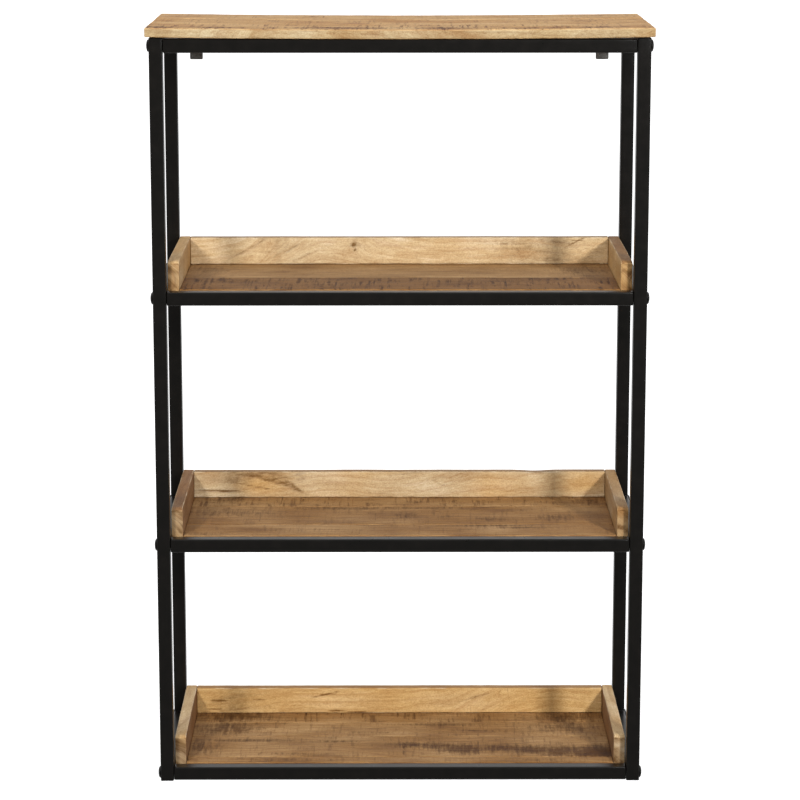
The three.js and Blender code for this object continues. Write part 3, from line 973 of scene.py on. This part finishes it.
def plate(outline, holes, thickness, ease=0.35):
    """A flat plate in X and Y with round holes, its rims eased, from z = 0 up to thickness.
    outline is a closed list of points; holes are (x, y, radius)."""
    form = bmesh.new()
    loops = [outline]
    for x, y, radius in holes:
        loops.append([(x + radius * cos, y + radius * sin) for cos, sin in circle(HOLE_AROUND)])
    edges = []
    for loop in loops:
        corners = [form.verts.new((x, y, 0)) for x, y in loop]
        edges += [form.edges.new((corners[i], corners[(i + 1) % len(corners)])) for i in range(len(corners))]
    bmesh.ops.triangle_fill(form, use_beauty=True, use_dissolve=False, edges=edges)
    made = bmesh.ops.extrude_face_region(form, geom=form.faces[:])
    for item in made["geom"]:
        if isinstance(item, bmesh.types.BMVert):
            item.co.z = thickness
    bmesh.ops.recalc_face_normals(form, faces=form.faces)
    rims = [e for e in form.edges if len(e.link_faces) == 2 and e.calc_face_angle() > 1.2]
    bmesh.ops.bevel(form, geom=rims, offset=ease, segments=2, affect="EDGES", profile=0.5)
    form.verts.ensure_lookup_table()
    form.verts.index_update()
    points = np.array([v.co[:] for v in form.verts])
    faces = [tuple(v.index for v in f.verts) for f in form.faces]
    form.free()
    return Island(points, faces)


def rounded_plate_outline(x0, y0, x1, y1, radius, steps=5):
    corners = ((x1 - radius, y0 + radius, -90), (x1 - radius, y1 - radius, 0),
               (x0 + radius, y1 - radius, 90), (x0 + radius, y0 + radius, 180))
    made = []
    for cx, cy, begin in corners:
        for step in range(steps + 1):
            angle = math.radians(begin + 90 * step / steps)
            made.append((cx + radius * math.cos(angle), cy + radius * math.sin(angle)))
    return made


def short_bead(x0, x1, y, z, radius, seed):
    """A straight weld bead along X with rounded ends."""
    steps = 14
    noise = smooth_noise(np.arange(steps + 1) * 0.9, 0.0, seed)
    points = []
    for i in range(steps + 1):
        t = i / steps
        swell = math.sin(math.pi * (0.06 + 0.88 * t)) ** 0.35
        size = radius * swell * (1 + 0.12 * math.sin(i * 2.3) + 0.08 * noise[i])
        points += [(x0 + (x1 - x0) * t, y + size * cos, z + size * sin) for cos, sin in circle(BEAD_AROUND)]
    return Island(points, capped_faces(steps + 1, BEAD_AROUND))


def rail_span(end, level):
    """The tube of a cross rail without its tabs, which reach inwards."""
    low, high = span(f"{end}_rail_{level}")
    if end == "front":
        high[Y] = low[Y] + (high[Z] - low[Z])
    else:
        low[Y] = high[Y] - (high[Z] - low[Z])
    return low, high


def tab_places(low, high, level, inward):
    """For both tabs of a cross rail: their middle along X, the rail face they stand on and underside."""
    root = high[Y] if inward > 0 else low[Y]
    bottom = high[Z] - TAB_THICK if level == LEVELS[-1] else low[Z] + TAB_RAISED
    return [(side * TAB_FROM_MIDDLE, root, bottom) for _, side in SIDES]


def cross_rails(material):
    half = TAB_WIDTH / 2
    outline = rounded_plate_outline(-half, -0.5, half, TAB_REACH, TAB_CORNER)
    tab = plate(outline, [(0, TAB_REACH / 2, TAB_HOLE)], TAB_THICK)
    for end, outward in ENDS:
        inward = -outward
        for level in LEVELS:
            low, high = rail_span(end, level)
            size, middle = size_and_middle(low, high)
            bar = steel_bar(size[Y], size[Z], size[X], CORNER, 1.9, inner=np.linspace(-300, 300, 13))
            islands = [bar.turned((Z, X, Y)).moved(*middle)]
            weld_below = 0.3 if level == LEVELS[-1] else 0.2
            for number, (x, root, bottom) in enumerate(tab_places(low, high, level, inward)):
                seed = 600 + 10 * level + number
                weld = short_bead(x - half + 1, x + half - 1, root + inward * 0.2, bottom - weld_below,
                                  TAB_WELD, seed)
                islands += [tab.turned((X, Y, Z), (1, inward, 1)).moved(x, root, bottom), weld]
            add_piece(f"{end}_rail_tube_{level}", islands, material, [f"{end}_rail_{level}"])


@dataclass
class Screw:
    """A domed screw's measures. Its drive is a hexagon or a cross."""
    head_radius: float
    head_height: float
    rim: float
    shank_radius: float
    shank_length: float
    drive: str
    drive_size: float
    drive_depth: float

    def drive_radius(self, angle):
        """How far the outline of the drive lies from the middle, at an angle."""
        half = self.drive_size / 2
        if self.drive == "hex":
            flat = (angle + math.pi / 6) % (math.pi / 3) - math.pi / 6
            return half / math.cos(flat)
        c, s = abs(math.cos(angle)), abs(math.sin(angle))
        return min(half / max(c, s), self.drive_size * 0.13 / max(min(c, s), 1e-6))

    def dome_height(self, radius):
        dome = self.head_height - self.rim
        return -self.rim - dome * math.sqrt(max(0.0, 1 - (radius / self.head_radius) ** 2))

    def island(self):
        """The screw along +Z: its head's underside at z = 0, its shank above it and its head below."""
        head, shank, steps = self.head_radius, self.shank_radius, 9
        rings = [(shank * 0.6, self.shank_length), (shank, self.shank_length - 0.6), (shank, 0.0),
                 (head - 0.25, 0.0), (head, -0.25), (head, -self.rim)]
        for step in range(1, steps + 1):
            radius = head * math.cos(math.pi / 2 * step / steps)
            if radius <= self.drive_size / 2 * 1.22:
                break
            rings.append((radius, self.dome_height(radius)))
        turns = circle(SCREW_AROUND)
        points = [(radius * cos, radius * sin, height) for radius, height in rings for cos, sin in turns]
        for grow, sink in ((1.08, 0.0), (1.0, 0.12), (0.97, self.drive_depth)):
            for k, (cos, sin) in enumerate(turns):
                radius = self.drive_radius(2 * math.pi * k / SCREW_AROUND) * grow
                height = self.dome_height(radius) + sink
                if sink == self.drive_depth:
                    height = -self.head_height + self.drive_depth
                points.append((radius * cos, radius * sin, height))
        return Island(points, capped_faces(len(rings) + 3, SCREW_AROUND))


LEG_BOLT = Screw(8.5, 3.6, 0.9, 3.0, 28, "hex", 4.0, 2.0)
STRAP_SCREW = Screw(4.75, 2.2, 0.6, 2.5, 9, "cross", 4.4, 1.2)
TAB_SCREW = Screw(3.9, 1.7, 0.5, 1.9, 9, "cross", 3.6, 1.0)
SCREW_SHARP = 30


def bolts(material):
    for end, _ in ENDS:
        for side, outward in SIDES:
            for level in LEVELS:
                node = f"bolt_{end}_{side}_{level}"
                low, high = span(node)
                middle = (low + high) / 2
                face = high[X] - LEG_BOLT.head_height if outward > 0 else low[X] + LEG_BOLT.head_height
                bolt = LEG_BOLT.island().turned((Z, X, Y), (-outward, 1, 1)).moved(face, middle[Y], middle[Z])
                add_piece(f"leg_bolt_{end}_{side}_{level}", [bolt], material, [node],
                          sharp=SCREW_SHARP)


# A foot plug: the width of its pad and of the stem in the leg, and the pad's rim as (height, inset) pairs.
PAD_WIDTH, PAD_CORNER = 19, 2.0
STEM_WIDTH, STEM_CORNER, STEM_ABOVE, STEM_END = 15.8, 1.2, 1.2, 0.6
PAD_RIM = ((0, 1.0), (0.12, 0.72), (0.5, 0.35), (0.9, 0.08), (1.1, 0.0), (1.4, 0.05), (1.5, 0.2))


def foot_plugs(material):
    grid = np.linspace(-1, 1, 5)
    points, faces = sweep(Outline(PAD_WIDTH, PAD_WIDTH, PAD_CORNER, grid, grid, corner=5), PAD_RIM)
    pad = Island(points.reshape(-1, 3), faces)
    for end, _ in ENDS:
        for side, _ in SIDES:
            node = f"foot_plug_{end}_{side}"
            low, high = span(node)
            middle = (low + high) / 2
            stem_low = low[Z] + STEM_ABOVE
            stem = steel_bar(STEM_WIDTH, STEM_WIDTH, high[Z] - stem_low, STEM_CORNER, STEM_END)
            islands = [pad.moved(middle[X], middle[Y], low[Z]),
                       stem.moved(middle[X], middle[Y], (stem_low + high[Z]) / 2)]
            add_piece(f"foot_plug_moulded_{end}_{side}", islands, material, [node])


# A wall strap: its corners, the hole its screw goes through, and the wall's hole, which is this far up.
STRAP_CORNER, STRAP_SCREW_HOLE, STRAP_WALL_HOLE, STRAP_WALL_HOLE_UP = 2.0, 2.8, 3.0, 15


def wall_straps(material):
    for side, _ in SIDES:
        node, screw_node = f"wall_strap_{side}", f"wall_strap_screw_{side}"
        low, high = span(node)
        size, middle = size_and_middle(low, high)
        screw_low, screw_high = span(screw_node)
        screw_z = (screw_low[Z] + screw_high[Z]) / 2 - middle[Z]
        outline = rounded_plate_outline(-size[X] / 2, -size[Z] / 2, size[X] / 2, size[Z] / 2, STRAP_CORNER)
        holes = [(0, screw_z, STRAP_SCREW_HOLE), (0, STRAP_WALL_HOLE_UP - size[Z] / 2, STRAP_WALL_HOLE)]
        strap = plate(outline, holes, size[Y], ease=0.3).turned((X, Z, Y)).moved(middle[X], low[Y], middle[Z])
        add_piece(f"wall_strap_plate_{side}", [strap], material, [node])
        face = screw_high[Y] - STRAP_SCREW.head_height
        pan = STRAP_SCREW.island().turned((X, Z, Y), (1, -1, 1)).moved(middle[X], face, middle[Z] + screw_z)
        add_piece(f"wall_strap_pan_screw_{side}", [pan], material, [screw_node],
                  sharp=SCREW_SHARP)


def tab_screws(material):
    """The wood screws under the tabs, which hold the trays and the plank. CAD has only their holes."""
    for end, outward in ENDS:
        for level in LEVELS:
            places = tab_places(*rail_span(end, level), level, -outward)
            for (side, _), (x, root, bottom) in zip(SIDES, places):
                pan = TAB_SCREW.island().moved(x, root - outward * TAB_REACH / 2, bottom)
                add_piece(f"tab_screw_{end}_{side}_{level}", [pan], material, sharp=SCREW_SHARP)


# ---- the scene

add_camera()
light_scene()
light_world()
add_stage()
bpy.context.scene.view_settings.view_transform = "Standard"

wall_wood = wood_material(
    "wall_wood", light=(226, 211, 182), mid=(210, 190, 153), dark=(186, 158, 119), rich=(246, 220, 172),
    stained=(158, 138, 114), sawn=(156, 120, 84), deep=(136, 96, 58), sandy=0.50, streaky=0.14, wear=0.5,
    combing=0.1)
floor_wood = wood_material(
    "floor_wood", light=(190, 156, 110), mid=(173, 138, 92), dark=(146, 110, 70), rich=(210, 190, 154),
    stained=(148, 128, 96), sawn=(136, 106, 74), deep=(140, 100, 62), sandy=0.45, streaky=0.42, wear=0.22)
# The plank's pale bluish deep colour tints its end grain and the painted shade on its long edges.
plank_wood = wood_material(
    "plank_wood", light=(238, 206, 154), mid=(222, 184, 130), dark=(194, 148, 96), rich=(232, 212, 176),
    stained=(146, 120, 94), sawn=(146, 114, 84), deep=(210, 228, 255), sandy=0.62, streaky=0.34, wear=0.3)
frame_steel = powder_coat_material("frame_steel")
zinc_steel = zinc_material("zinc_steel")

tray_backs(wall_wood)
tray_sides(wall_wood)
tray_floors(floor_wood)
top_plank(plank_wood)
legs(frame_steel)
side_rails(frame_steel)
cross_rails(frame_steel)
bolts(black_oxide_material("black_bolt"))
foot_plugs(plastic_material("black_plastic"))
wall_straps(zinc_steel)
tab_screws(zinc_steel)
